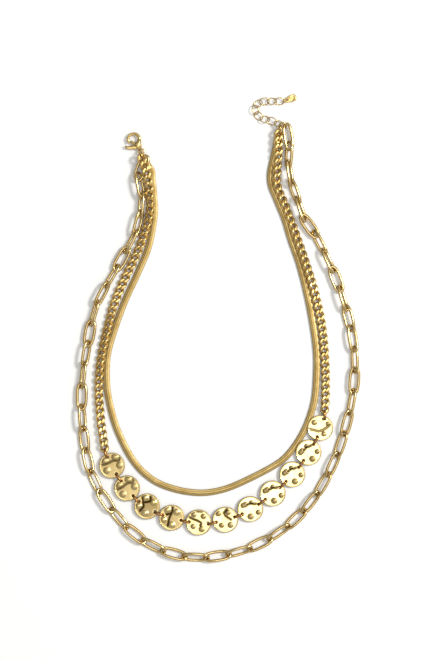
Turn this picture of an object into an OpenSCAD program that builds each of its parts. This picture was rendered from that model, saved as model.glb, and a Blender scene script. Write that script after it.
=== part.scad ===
// Multi strand necklace, laid out open on a table as it is photographed.
// Three strands hang from one clasp: a flat snake chain, a curb chain that carries a row of
// hammered discs, and a long oval link chain. A short extender chain ends in a plain drop tag.
// X runs to the right, Y towards the clasp, Z up from the table. All lengths are in millimetres.

/* [Oval link chain] */
// Outside length of one oval link
oval_l = 14.8; // [14.6:0.1:16]
// Outside width of one oval link
oval_w = 6.1; // [5.6:0.1:7]
// Diameter of the oval links' wire
oval_wire = 1.35; // [1:0.05:1.4]
// Smallest gap that two hooked links keep
link_gap = 0.15; // [0.1:0.05:0.3]
// Slack that two hooked oval links keep at their tightest
oval_gap = 0.75; // [0.6:0.05:1]
// How much closer the links bunch up beside the clasp than at the bottom
oval_slack = 2; // [1.8:0.1:2.8]

/* [Curb chain] */
// Outside width of the curb chain
curb_w = 4.6; // [4.2:0.1:5]
// Diameter of the curb links' wire
curb_wire = 1.1; // [0.9:0.05:1.15]
// Length of chain that each curb link adds
curb_pitch = 3.7; // [3.5:0.05:3.8]
// Half of the twist between the two ends of a curb link
curb_twist = 45; // [42:1:50]

/* [Snake chain] */
// Width of the flat snake chain
snake_w = 3.3; // [2.8:0.1:3.5]
// Thickness of the flat snake chain
snake_t = 1.4; // [1:0.1:1.6]
// Metal thickness of the end caps
cap_wall = 0.25; // [0.2:0.05:0.35]
// Length of an end cap
cap_l = 5; // [4:0.5:6]
// Gap between the snake chain and its caps
cap_gap = 0.1; // [0.1:0.05:0.2]

/* [Discs] */
// Diameter of a disc
disc_d = 13.1; // [11:0.1:13.5]
// Thickness of a disc
disc_t = 1; // [0.8:0.1:1.2]
// Height of the hammered lumps over the disc's face
disc_relief = 0.45; // [0.3:0.05:0.6]
// Width of the raised rim
rim_w = 0.45; // [0.3:0.05:0.7]
// Height of the raised rim
rim_h = 0.15; // [0.1:0.05:0.3]
// Diameter of the two holes in a disc
disc_hole = 1.5; // [1.3:0.1:1.7]
// Distance from a hole's centre to the disc's edge
disc_hole_in = 1.75; // [1.4:0.05:2]
// Gap between two neighbouring discs
disc_gap = 0.85; // [0.6:0.05:1.5]
// Height of the standing rings between discs
disc_ring_h = 3.8; // [3.6:0.1:4]
// Diameter of the wire of the rings between discs
disc_ring_wire = 0.8; // [0.6:0.05:0.9]

/* [End rings] */
// Outside diameter of the two gathering rings
end_ring_d = 5.6; // [5.4:0.1:6]
// Diameter of the gathering rings' wire
end_ring_wire = 0.8; // [0.6:0.05:0.9]
// Diameter of the wire of the small rings and eyes
eye_wire = 0.7; // [0.5:0.05:0.8]

/* [Clasp] */
// Thickness of the clasp's body
clasp_t = 2.6; // [2.2:0.1:2.8]
// Diameter of the claw's round wire
claw_wire = 1.4; // [1.2:0.05:1.5]
// Thickness of the lever
lever_t = 0.9; // [0.7:0.1:1.1]
// Diameter of the lever's pin
pin_d = 0.8; // [0.6:0.05:1]
// Radial gap between the pin and the lever
pin_gap = 0.05; // [0.02:0.01:0.1]

/* [Extender and tag] */
// Outside length of an extender link
ext_l = 5.2; // [5.1:0.1:5.5]
// Outside width of an extender link
ext_w = 4.4; // [4:0.1:4.8]
// Diameter of the extender links' wire
ext_wire = 0.5; // [0.4:0.05:0.55]
// Length of the drop tag
tag_l = 6.4; // [5.5:0.1:8]
// Width of the drop tag
tag_w = 3.8; // [3:0.1:4.5]
// Thickness of the drop tag
tag_t = 0.6; // [0.5:0.1:1]

/* [Hidden] */

// Routes, chosen by hand. The oval chain's third value lifts its links towards the end rings.
oval_route = [
  [-36.95, 85.75, 0.75], [-40.3, 76.5, 0.45], [-38.5, 67.5, 0.02], [-39, 59, 0.02], [-41.5, 49, 0],
  [-51, 31, 0], [-61.5, 12, 0], [-66, -8, 0], [-69, -29, 0], [-68.5, -51, 0],
  [-64.5, -73.5, 0], [-53.5, -93, 0], [-37.5, -108.5, 0], [-16, -116.5, 0], [7, -115, 0],
  [28, -106.5, 0], [45.5, -91.5, 0], [57.5, -72.5, 0], [65, -52, 0], [69.5, -30, 0],
  [69.5, -9, 0], [65, 11.5, 0], [58, 31, 0], [49, 49, 0], [43, 57.5, 0],
  [40.5, 66.5, 0.02], [37.5, 74.5, 0.05], [36.15, 83, 0.3], [36.6, 92.4, 1.2],
  [35.35, 101.7, 1.35]
];
// The snake chain's third value is the height of its underside.
snake_route = [
  [-36.2, 83.45, 0.35], [-33.6, 80.2, 0.35], [-33.2, 75.6, 0.35], [-32.5, 69, 0],
  [-32, 60, 0], [-33, 51, 0], [-35.5, 40, 0], [-41, 27, 0], [-47, 14, 0], [-52.5, -1, 0],
  [-56, -14, 0],
  [-56.5, -27, 0], [-55, -38, 0], [-51, -52, 0], [-43, -67.5, 0], [-33.5, -77, 0],
  [-22, -82, 0], [-8.5, -84, 0], [4, -82, 0], [17, -76.5, 0], [30, -69.5, 0],
  [36.5, -64, 0], [42.5, -55.5, 0], [46.5, -47, 0], [49.5, -36.5, 0], [50.5, -24, 0],
  [50.5, -13, 0], [49, 0, 0], [46, 16, 0], [42, 32, 0], [37.5, 45, 0], [34.5, 55, 0],
  [30.5, 65, 0], [27.5, 72.5, 0], [27, 78.5, 0], [28.3, 85.5, 0], [29.7, 92, 0.35],
  [30.7, 96.5, 0.35]
];
// The middle strand's third value is its centre's height and its fourth the lean of its links.
strand_route = [
  [-39.6, 87.85, 4.8, 6], [-37.55, 83.9, 5.4, 0], [-36.25, 79.6, 5.3, -4], [-35.3, 75, 4.45, 5],
  [-34.6, 69, 3.25, 22], [-34.5, 59, 2.45, 35],
  [-37, 49, 2.05, 30], [-41, 38, 1.65, 10], [-47.5, 24.5, 1.5, 0], [-52, 14, 1.5, 0],
  [-55, 4, 1.9, 28], [-58, -8, 2, 33], [-60, -20, 1.95, 28], [-60.5, -31, 1.55, 0],
  [-60, -41, 1.5, 0], [-58.5, -54, 1.9, -24], [-54.5, -69.5, 1.9, -30], [-36.5, -91, 1.6, 0],
  [-10, -99.5, 1.6, 0], [4, -97.5, 1.6, 0], [17, -92.5, 1.6, 0], [38.5, -74.5, 1.9, 30],
  [52.5, -52, 1.9, 30], [54.5, -41.5, 1.9, 24], [55, -28, 1.5, 0], [54.5, -13, 1.5, 0],
  [53, 1.5, 1.5, 0], [50, 16, 1.65, 10], [46, 30, 2, 33], [40, 47.5, 2.05, 35],
  [34, 63.5, 2.05, 35], [30.5, 72.5, 2.1, 35], [30.5, 81.5, 2.4, 30], [31.05, 91, 3.7, 11],
  [31.05, 100.8, 3.5, 0]
];
// Number of the strand route's point under the middle disc
disc_middle = 19;

// Turning of each oval link about the chain, in degrees
oval_rolls = [
  3, -54, 65, -54, 65, 1, 62, -52, 66, 1, -54, 66, 1, -54, 26, -34,
  40, -22, 40, -22, 38, -24, 42, -24, 44, -20, 46, -28, 36, -38, 34, -38,
  26, -62, 8, -58, 34, -32, 65, 1, 62, -54, 1, 65, -54, 65, -54, 32
];

disc_count = 11;

// Extender chain's route; the third value is the height of the links' centres
extender_route = [
  [32.9, 102.8, 2.3], [29.1, 104.9, 2], [26, 106, 1.5], [22.5, 106.5, 1.3], [19.5, 109.5, 1.3],
  [19, 112.5, 1.3], [21, 115, 1.3], [25, 115.5, 1.3], [29, 115.5, 1.3], [33.5, 115.5, 1.3]
];
extender_rolls = [30, -30];

// Places and headings of the hardware at the two ends
clasp_at = [-38.75, 89.8, 1.9];
clasp_heading = 118;
end_ring_left_at = [-38.45, 87.85, 2.95];
end_ring_left_heading = -82;
end_ring_right_at = [31.85, 101.4, 2.85];
end_ring_right_heading = -104;
oval_end_ring_at = [33.2, 102.7, 4.87];
oval_end_ring_turn = [-6.5, 2, 42];
tag_ring_at = [34.2, 115.6, 1.45];
tag_at = [35.3, 116, 0.9];
tag_heading = 22;

// Samples of a route between two of its points
route_samples = 12;

function flat(v) = [v[0], v[1]];

// Point at place t of a smooth curve through the chosen points (whole numbers are the points)
function curve_at(route, t) =
  let (
    last = len(route) - 1,
    i = min(floor(t), last - 1),
    f = t - i,
    p0 = route[max(i - 1, 0)],
    p1 = route[i],
    p2 = route[i + 1],
    p3 = route[min(i + 2, last)]
  )
  0.5 * (2 * p1 + (p2 - p0) * f + (2 * p0 - 5 * p1 + 4 * p2 - p3) * f * f
    + (3 * p1 - p0 - 3 * p2 + p3) * f * f * f);

// Table that turns a length along the route into its place t
function length_table(route) =
  let (n = (len(route) - 1) * route_samples)
  [for (
    i = 0, s = 0;
    i <= n;
    s = s + (i < n ? norm(flat(curve_at(route, (i + 1) / route_samples))
      - flat(curve_at(route, i / route_samples))) : 0),
    i = i + 1
  ) [s, i / route_samples]];

function table_end(table) = table[len(table) - 1][0];
function swapped(table) = [for (row = table) [row[1], row[0]]];
function at_length(route, table, s) = curve_at(route, lookup(s, table));
function heading(v) = atan2(v[1], v[0]);

// Oval chain: where each pair of links hooks
oval_reach = oval_l - 2 * oval_wire - oval_gap;
oval_bend = (oval_w - oval_wire) / 2;
oval_rest = 1.5 * oval_wire + link_gap;
oval_low = min([for (p = oval_route) p[1]]);
oval_high = oval_route[0][1];
function oval_pitch(y) =
  oval_reach - oval_slack * pow((y - oval_low) / (oval_high - oval_low), 2);

// Table that turns a count of links along the route into its place t
oval_table =
  let (n = (len(oval_route) - 1) * route_samples)
  [for (
    i = 0, links = 0;
    i <= n;
    links = links + (i < n ? norm(flat(curve_at(oval_route, (i + 1) / route_samples))
      - flat(curve_at(oval_route, i / route_samples)))
      / oval_pitch(curve_at(oval_route, i / route_samples)[1]) : 0),
    i = i + 1
  ) [links, i / route_samples]];
oval_count = ceil(table_end(oval_table));
oval_half = floor(oval_count / 2);
function oval_joint(j) =
  curve_at(oval_route, lookup(j * table_end(oval_table) / oval_count, oval_table));
// The list is read from its start for the first half and from its end for the second, so that
// the links beside the two end rings keep their turning if the number of links changes.
function oval_roll(i) =
  oval_rolls[i < oval_half ? i % len(oval_rolls)
    : (i - oval_count + 2 * len(oval_rolls)) % len(oval_rolls)];
function oval_height(roll) = max(oval_rest, oval_bend * abs(sin(roll)) + oval_wire / 2);

// Frame of a link: centre, heading, climb and roll
function oval_frame(i) =
  let (a = oval_joint(i), b = oval_joint(i + 1), d = b - a, roll = oval_roll(i))
  [(a + b) / 2 + [0, 0, oval_height(roll)], heading(d), atan2(d[2], norm(flat(d))), roll];

// Discs along the middle strand, counted from the left
strand_table = length_table(strand_route);
strand_length = table_end(strand_table);
disc_pitch = disc_d + disc_gap;
disc_reach = disc_d / 2 - disc_hole_in;
disc_ring_span = disc_gap + 2 * disc_hole_in;
disc_z = (disc_ring_h - disc_t) / 2;
disc_first = lookup(disc_middle, swapped(strand_table)) - (disc_count - 1) / 2 * disc_pitch;
disc_last = disc_first + (disc_count - 1) * disc_pitch;
function strand_at(s) = at_length(strand_route, strand_table, s);
function disc_at(i) = flat(strand_at(disc_first + i * disc_pitch));
function disc_heading(i) =
  let (s = disc_first + i * disc_pitch)
  heading(flat(strand_at(s + disc_reach) - strand_at(s - disc_reach)));
function unit(angle) = [cos(angle), sin(angle)];
function disc_hole_at(i, side) = disc_at(i) + side * disc_reach * unit(disc_heading(i));

// The two ends of each ring between discs, with one ring more at each end of the row
function disc_ring_ends(i) =
  let (
    a = i < 0 ? flat(strand_at(disc_first - disc_reach - disc_ring_span)) : disc_hole_at(i, 1),
    b = i == disc_count - 1 ? flat(strand_at(disc_last + disc_reach + disc_ring_span))
      : disc_hole_at(i + 1, -1)
  )
  [a, b];
function ring_frame(ends, z, roll) =
  [[(ends[0][0] + ends[1][0]) / 2, (ends[0][1] + ends[1][1]) / 2, z],
    heading(ends[1] - ends[0]), 0, roll];

// Curb chains, from an end ring to the row of discs on each side
curb_a = (curb_pitch + curb_wire) / 2 + link_gap;
curb_b = (curb_w - curb_wire) / 2;
curb_end_slack = 0.4;
curb_hook = (curb_wire + disc_ring_wire) / 2 + curb_end_slack;
curb_left_end = disc_first - disc_reach - disc_ring_span + curb_hook - curb_a;
curb_right_start = disc_last + disc_reach + disc_ring_span - curb_hook + curb_a;
curb_left_count = ceil((curb_left_end - curb_a) / curb_pitch) + 1;
curb_right_count = ceil((strand_length - curb_a - curb_right_start) / curb_pitch) + 1;
function between(a, b, share) = a + (b - a) * share;
function curb_station(left, i) =
  left ? between(curb_a, curb_left_end, i / (curb_left_count - 1))
  : between(curb_right_start, strand_length - curb_a, i / (curb_right_count - 1));
function curb_frame(left, i) =
  let (
    s = curb_station(left, i),
    d = strand_at(s + curb_a / 2) - strand_at(s - curb_a / 2),
    p = strand_at(s)
  )
  [[p[0], p[1], p[2]], heading(d), atan2(d[2], norm(flat(d))), p[3]];

// One curb link is a twisted oval of wire
curb_segments = 12;
curb_sides = 6;
function curb_lean(t) = curb_twist * sin(90 * cos(t));
function curb_line(t) =
  [curb_a * cos(t), curb_b * sin(t) * cos(curb_lean(t)), curb_b * sin(t) * sin(curb_lean(t))];
function direction(v) = v / norm(v);
function turned(v, frame) =
  let (
    y1 = v[1] * cos(frame[3]) - v[2] * sin(frame[3]),
    z1 = v[1] * sin(frame[3]) + v[2] * cos(frame[3]),
    x2 = v[0] * cos(frame[2]) - z1 * sin(frame[2]),
    z2 = v[0] * sin(frame[2]) + z1 * cos(frame[2])
  )
  frame[0] + [
    x2 * cos(frame[1]) - y1 * sin(frame[1]),
    x2 * sin(frame[1]) + y1 * cos(frame[1]),
    z2
  ];
curb_shape = [
  for (i = [0:curb_segments - 1])
    let (
      t = i * 360 / curb_segments,
      along = direction(curb_line(t + 2) - curb_line(t - 2)),
      up = [0, -sin(curb_lean(t)), cos(curb_lean(t))],
      side = direction(cross(up, along)),
      top = cross(along, side)
    )
    for (j = [0:curb_sides - 1])
      let (a = j * 360 / curb_sides)
      curb_line(t) + curb_wire / 2 * (cos(a) * side + sin(a) * top)
];
curb_faces = [
  for (i = [0:curb_segments - 1])
    for (j = [0:curb_sides - 1])
      let (
        i2 = (i + 1) % curb_segments,
        j2 = (j + 1) % curb_sides,
        a = i * curb_sides + j,
        b = i2 * curb_sides + j,
        c = i2 * curb_sides + j2,
        d = i * curb_sides + j2
      )
      each [[a, b, c], [a, c, d]]
];

// Snake chain: a band with a flat underside and a domed top, as shares of its size
snake_section = [
  [-0.75, 0], [0.75, 0], [1, 0.25], [1, 0.6], [0.75, 0.88],
  [0.3, 1], [-0.3, 1], [-0.75, 0.88], [-1, 0.6], [-1, 0.25]
];
snake_table = length_table(snake_route);
snake_length = table_end(snake_table);
snake_step = 5;
snake_rings = ceil(snake_length / snake_step);
// The band's middle at one of its sections, and the way it runs there, straight at both ends
function snake_at(i) = at_length(snake_route, snake_table, i * snake_length / snake_rings);
function snake_heading(i) =
  heading(flat(snake_at(min(i + 1, snake_rings)) - snake_at(max(i - 1, 0))));

// End caps: how far the band reaches in, and the solid stretch beyond it
cap_seat = 0.6 * cap_l;
cap_w = snake_w + 2 * (cap_gap + cap_wall);
cap_h = snake_t + 2 * (cap_gap + cap_wall);
cap_nose = cap_l - cap_seat;
eye_r = 1.3;
eye_lift = 0.5;

// Clasp, measured from the centre of its eye along its length
eye_hole = 1.8;
eye_rim = 0.8;
eye_t = 1;
claw_at = [7.3, 0.5];
claw_r = 2.9;
claw_start = -145;
claw_end = 100;
pivot_at = [2.8, -0.1];
lever_end_at = [6.9, 2.05];
lever_w = 0.9;
lever_slack = 0.1;
slot_end = 5.25;
pin_fit = 0.02;
body_outline = [
  [1.1, -0.9], [2.2, -1.5], [3.6, -2.1], [4.9, -2.5], [6, -2.4], [6, -1.3],
  [5.6, -0.7], [5.1, -0.1], [4.95, 0.6], [5, 1.3], [4.7, 2.2], [3.6, 2.6], [2.2, 1.9], [1.1, 0.9]
];
// Thumb tab of the lever, from its root at the pivot to its tip outside the claw
tab_outline = [
  [3.4, -0.3], [4.95, 1.5], [5.3, 3.4], [5.2, 4.7], [5.6, 5.3], [6.3, 5.6], [6.4, 6],
  [5.9, 6.3], [5, 5.9], [3.9, 4.8], [2.9, 3], [2.2, 1.2], [2.1, 0.2]
];

// Small rings and the tag's hole
oval_end_ring_d = 4.5;
tag_ring_d = 2.8;
tag_ring_heading = 20;
tag_hole = 1.2;
tag_edge = 0.55;

module placed(frame) {
  translate(frame[0]) rotate([0, 0, frame[1]]) rotate([0, -frame[2], 0])
    rotate([frame[3], 0, 0]) children();
}

module round_wire_ring(d, wire) {
  rotate_extrude($fn = 48) translate([(d - wire) / 2, 0]) circle(d = wire, $fn = 24);
}

module oval_link(l, w, wire) {
  bend = (w - wire) / 2;
  run = l - w;
  for (side = [-1, 1]) {
    translate([side * run / 2, 0, 0])
      rotate_extrude(angle = 180, start = -90 * side, $fn = 48)
        translate([bend, 0]) circle(d = wire, $fn = 24);
    translate([-run / 2, side * bend, 0]) rotate([0, 90, 0])
      cylinder(d = wire, h = run, $fn = 24);
  }
}

module snake_chain() {
  size = len(snake_section);
  points = [
    for (i = [0:snake_rings])
      let (p = snake_at(i), h = snake_heading(i))
      for (q = snake_section)
        p + [-sin(h) * q[0] * snake_w / 2, cos(h) * q[0] * snake_w / 2, q[1] * snake_t]
  ];
  faces = [
    [for (j = [size - 1:-1:0]) j],
    for (i = [0:snake_rings - 1])
      for (j = [0:size - 1])
        let (j2 = (j + 1) % size, a = i * size, b = a + size)
        each [[a + j, a + j2, b + j2], [a + j, b + j2, b + j]],
    [for (j = [0:size - 1]) snake_rings * size + j]
  ];
  color("goldenrod") polyhedron(points, faces);
}

// The cap is drawn with the band's end at the origin and the eye on +X.
module snake_cap() {
  color("gold") difference() {
    union() {
      translate([-cap_seat, -cap_w / 2, -cap_gap - cap_wall]) cube([cap_seat, cap_w, cap_h]);
      translate([0, 0, -cap_gap - cap_wall]) linear_extrude(cap_h)
        polygon([[0, -cap_w / 2], [cap_nose * 0.5, -cap_w / 2], [cap_nose, -cap_w / 4],
          [cap_nose, cap_w / 4], [cap_nose * 0.5, cap_w / 2], [0, cap_w / 2]]);
      translate([cap_nose + eye_r, 0, snake_t / 2 + eye_lift])
        round_wire_ring(2 * eye_r + eye_wire, eye_wire);
    }
    translate([-cap_seat - cap_wall, -snake_w / 2 - cap_gap, -cap_gap])
      cube([cap_seat + cap_wall + cap_gap, snake_w + 2 * cap_gap, snake_t + 2 * cap_gap]);
  }
}

module snake_cap_left() {
  placed([snake_at(0), snake_heading(0) + 180, 0, 0]) snake_cap();
}

module snake_cap_right() {
  placed([snake_at(snake_rings), snake_heading(snake_rings), 0, 0]) snake_cap();
}

module curb_chain(left) {
  count = left ? curb_left_count : curb_right_count;
  size = len(curb_shape);
  points = [
    for (i = [0:count - 1]) let (frame = curb_frame(left, i))
      for (v = curb_shape) turned(v, frame)
  ];
  faces = [for (i = [0:count - 1]) for (f = curb_faces) [for (k = f) k + i * size]];
  color("darkgoldenrod") polyhedron(points, faces);
}

module oval_chain(from, to) {
  color("goldenrod") for (i = [from:to])
    placed(oval_frame(i)) oval_link(oval_l, oval_w, oval_wire);
}

// Lumps of the hammered face: place along and across the chain, and radius, as shares
lumps_a = [[-0.22, 0.52, 0.3], [0.4, 0.52, 0.28], [-0.5, -0.36, 0.3], [0.28, -0.5, 0.32]];
lumps_b = [
  [-0.3, 0.46, 0.26], [0.33, 0.36, 0.24], [-0.56, -0.08, 0.2],
  [-0.2, -0.52, 0.28], [0.4, -0.5, 0.26]
];

module disc(i) {
  lumps = i < 5 ? lumps_a : lumps_b;
  placed([[disc_at(i)[0], disc_at(i)[1], disc_z], disc_heading(i), 0, 0])
    color("gold") difference() {
      union() {
        cylinder(d = disc_d, h = disc_t, $fn = 64);
        translate([0, 0, disc_t]) difference() {
          cylinder(d = disc_d, h = rim_h, $fn = 64);
          translate([0, 0, -rim_h]) cylinder(d = disc_d - 2 * rim_w, h = 3 * rim_h, $fn = 64);
        }
        for (place = lumps) hammered_lump(place);
      }
      for (side = [-1, 1]) translate([side * disc_reach, 0, -disc_t])
        cylinder(d = disc_hole, h = 3 * disc_t + disc_relief, $fn = 24);
    }
}

// A lump is the top of a large ball, cut off inside the disc.
module hammered_lump(place) {
  r = place[2] * disc_d / 2;
  ball = (r * r + disc_relief * disc_relief) / (2 * disc_relief);
  translate([place[0] * disc_d / 2, place[1] * disc_d / 2, 0]) intersection() {
    translate([0, 0, disc_t + disc_relief - ball]) sphere(r = ball, $fn = 64);
    translate([0, 0, disc_t / 2]) cylinder(r = ball, h = disc_t, $fn = 32);
  }
}

module disc_rings() {
  color("peru") for (i = [-1:disc_count - 1]) {
    ends = disc_ring_ends(i);
    span = round(50 * norm(ends[1] - ends[0])) / 50;
    placed(ring_frame(ends, disc_ring_h / 2, 90))
      oval_link(span + disc_ring_wire, disc_ring_h, disc_ring_wire);
  }
}

// Extender chain: its links hook at equal lengths along its route
ext_table = length_table(extender_route);
ext_reach = ext_l - 2 * ext_wire - link_gap;
ext_count = ceil(table_end(ext_table) / ext_reach);
function ext_joint(j) = at_length(extender_route, ext_table, j * table_end(ext_table) / ext_count);
function ext_frame(i) =
  let (a = ext_joint(i), b = ext_joint(i + 1), d = b - a)
  [(a + b) / 2, heading(d), atan2(d[2], norm(flat(d))), extender_rolls[i % 2]];

module end_ring(at, turn) {
  color("goldenrod") placed([at, turn, 0, 90]) round_wire_ring(end_ring_d, end_ring_wire);
}

module end_ring_left() {
  end_ring(end_ring_left_at, end_ring_left_heading);
}

module end_ring_right() {
  end_ring(end_ring_right_at, end_ring_right_heading);
}

// Small round ring between the right end ring and the oval chain
module oval_end_ring() {
  color("gold") placed(concat([oval_end_ring_at], oval_end_ring_turn))
    round_wire_ring(oval_end_ring_d, eye_wire);
}

module extender_chain() {
  color("gold") for (i = [0:ext_count - 1])
    placed(ext_frame(i)) oval_link(ext_l, ext_w, ext_wire);
}

module tag_ring() {
  color("gold") placed([tag_ring_at, tag_ring_heading, 0, 90])
    round_wire_ring(tag_ring_d, ext_wire);
}

// A plain drop: a round end drawn out to a narrow end with a hole
module drop_tag() {
  round_r = tag_w / 2;
  tip_r = tag_hole / 2 + tag_edge;
  far = tag_l - round_r - tip_r;
  lean = asin((round_r - tip_r) / far);
  color("gold") translate(tag_at) rotate(tag_heading) linear_extrude(tag_t) difference() {
    union() {
      translate([far, 0]) circle(round_r, $fn = 48);
      circle(tip_r, $fn = 32);
      polygon([
        tip_r * [-sin(lean), cos(lean)], tip_r * [-sin(lean), -cos(lean)],
        [far, 0] + round_r * [-sin(lean), -cos(lean)], [far, 0] + round_r * [-sin(lean), cos(lean)]
      ]);
    }
    circle(d = tag_hole, $fn = 32);
  }
}

// The clasp is drawn with its eye at the origin, its nose on +X and its lever on the +Y side.
module on_clasp() {
  placed([clasp_at, clasp_heading, 0, 0]) children();
}

module clasp_body() {
  eye_r_out = eye_hole / 2 + eye_rim;
  slot_t = lever_t + 2 * lever_slack;
  color("goldenrod") on_clasp() difference() {
    union() {
      translate([0, 0, -eye_t / 2]) cylinder(r = eye_r_out, h = eye_t, $fn = 48);
      translate(claw_at)
        rotate_extrude(angle = claw_end - claw_start, start = claw_start, $fn = 64)
          translate([claw_r, 0]) circle(d = claw_wire, $fn = 32);
      translate([0, 0, -clasp_t / 2]) linear_extrude(clasp_t) polygon(body_outline);
    }
    translate([0, 0, -clasp_t]) cylinder(d = eye_hole, h = 2 * clasp_t, $fn = 48);
    translate([pivot_at[0], pivot_at[1], -clasp_t])
      cylinder(d = pin_d + 2 * pin_fit, h = 2 * clasp_t, $fn = 32);
    translate([pivot_at[0] - lever_w, pivot_at[1] - lever_w, -slot_t / 2])
      cube([slot_end - pivot_at[0] + lever_w, claw_at[0], slot_t]);
  }
}

module clasp_lever() {
  bar = lever_end_at - pivot_at;
  color("gold") on_clasp() difference() {
    translate([0, 0, -lever_t / 2]) linear_extrude(lever_t) {
      translate(pivot_at) circle(d = 2 * pin_d, $fn = 32);
      translate(pivot_at) rotate(heading(bar)) translate([0, -lever_w / 2])
        square([norm(bar), lever_w]);
      translate(lever_end_at) circle(d = lever_w, $fn = 32);
      polygon(tab_outline);
    }
    translate([pivot_at[0], pivot_at[1], -lever_t])
      cylinder(d = pin_d + 2 * pin_gap, h = 2 * lever_t, $fn = 32);
  }
}

module clasp_pin() {
  color("darkgoldenrod") on_clasp() translate([pivot_at[0], pivot_at[1], -clasp_t / 2])
    cylinder(d = pin_d, h = clasp_t, $fn = 32);
}

snake_chain();
snake_cap_left();
snake_cap_right();
curb_chain(true);  // curb_chain_left
curb_chain(false);  // curb_chain_right
disc(0);  // disc_01
disc(1);  // disc_02
disc(2);  // disc_03
disc(3);  // disc_04
disc(4);  // disc_05
disc(5);  // disc_06
disc(6);  // disc_07
disc(7);  // disc_08
disc(8);  // disc_09
disc(9);  // disc_10
disc(10);  // disc_11
disc_rings();
oval_chain(0, oval_half - 1);  // oval_chain_left
oval_chain(oval_half, oval_count - 1);  // oval_chain_right
end_ring_left();
end_ring_right();
oval_end_ring();
extender_chain();
tag_ring();
drop_tag();
clasp_body();
clasp_lever();
clasp_pin();
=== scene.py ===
"""Looks of a multi strand necklace that lies open on a pale table.

Each chain is drawn again link by link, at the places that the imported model's own links give.
The discs are hammered sheets, the band is a flat snake chain, and all of it is gold plated brass.
Sizes are in millimetres until a surface becomes a mesh.
"""

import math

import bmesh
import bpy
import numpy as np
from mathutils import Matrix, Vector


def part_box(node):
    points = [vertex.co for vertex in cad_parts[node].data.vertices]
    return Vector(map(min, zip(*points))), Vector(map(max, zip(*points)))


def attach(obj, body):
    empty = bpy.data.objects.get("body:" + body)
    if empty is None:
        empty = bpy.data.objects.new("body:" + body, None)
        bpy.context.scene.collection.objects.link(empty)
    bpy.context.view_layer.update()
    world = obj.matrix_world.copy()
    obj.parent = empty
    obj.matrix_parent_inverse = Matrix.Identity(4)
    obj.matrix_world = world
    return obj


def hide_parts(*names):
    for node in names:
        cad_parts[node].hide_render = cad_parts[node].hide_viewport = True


bl_info = {
    "name": "Multi strand necklace",
    "version": (1, 0, 0),
    "blender": (4, 5, 0),
    "location": "View3D > Sidebar > Necklace",
    "description": "Builds the strands, discs, clasp and tag of a layered necklace",
    "category": "Object",
}

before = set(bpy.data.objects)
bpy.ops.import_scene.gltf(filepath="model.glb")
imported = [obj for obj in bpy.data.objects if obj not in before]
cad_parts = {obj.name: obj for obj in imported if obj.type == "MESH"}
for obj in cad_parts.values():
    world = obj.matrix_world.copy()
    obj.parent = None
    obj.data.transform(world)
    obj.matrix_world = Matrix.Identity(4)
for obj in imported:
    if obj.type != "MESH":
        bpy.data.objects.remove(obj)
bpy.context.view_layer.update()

MM = 0.001
STRANDS_BODY = "necklace"
LEVER_BODY = "lever"
DISC_NODES = ["disc_%02d" % number for number in range(1, 12)]

# Snake chain: points along its underside
SNAKE_ROUTE = np.array([
    (-36.2, 83.45, 0.35), (-33.6, 80.2, 0.35), (-33.2, 75.6, 0.35), (-32.5, 69, 0),
    (-32, 60, 0), (-33, 51, 0), (-35.5, 40, 0), (-41, 27, 0), (-47, 14, 0), (-52.5, -1, 0),
    (-56, -14, 0), (-56.5, -27, 0), (-55, -38, 0), (-51, -52, 0), (-43, -67.5, 0),
    (-33.5, -77, 0), (-22, -82, 0), (-8.5, -84, 0), (4, -82, 0), (17, -76.5, 0), (30, -69.5, 0),
    (36.5, -64, 0), (42.5, -55.5, 0), (46.5, -47, 0), (49.5, -36.5, 0), (50.5, -24, 0),
    (50.5, -13, 0), (49, 0, 0), (46, 16, 0), (42, 32, 0), (37.5, 45, 0), (34.5, 55, 0),
    (30.5, 65, 0), (27.5, 72.5, 0), (27, 78.5, 0), (28.3, 85.5, 0), (29.7, 92, 0.35),
    (30.7, 96.5, 0.35)])

# Clasp: its eye's centre and its heading, and shapes along it with the eye at the origin
CLASP_AT = np.array((-38.75, 89.8, 1.9))
CLASP_HEADING = math.radians(118)
CLASP_PIVOT = (2.8, -0.1)
CLAW_MIDDLE = (7.3, 0.5)
CLAW_RADIUS = 2.9
CLAW_ANGLES = (-118, 100)
# Columns: along, across, half width, half thickness
BELLY_SPINE = np.array([
    (0.95, 0.0, 0.6, 0.5), (1.7, 0.1, 1.15, 0.85), (2.7, 0.15, 1.7, 1.15),
    (3.7, -0.05, 1.85, 1.28), (4.5, -0.75, 1.5, 1.28), (5.15, -1.5, 1.05, 1.1)])
LEVER_SPINE = np.array([
    (2.0, -0.5, 0.45, 0.42), (2.8, -0.1, 0.75, 0.45), (4.2, 0.63, 0.6, 0.45),
    (5.6, 1.45, 0.6, 0.45), (6.6, 2.1, 0.66, 0.42), (7.1, 2.35, 0.5, 0.36),
    (7.3, 2.45, 0.25, 0.25)])
TAB_SPINE = np.array([
    (2.6, 0.3, 0.5, 0.4), (3.4, 1.5, 1.05, 0.45), (4.1, 3.0, 1.05, 0.45), (4.65, 4.5, 0.8, 0.46),
    (5.3, 5.45, 0.62, 0.5), (6.0, 5.85, 0.5, 0.46), (6.35, 5.95, 0.3, 0.3)])

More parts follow.
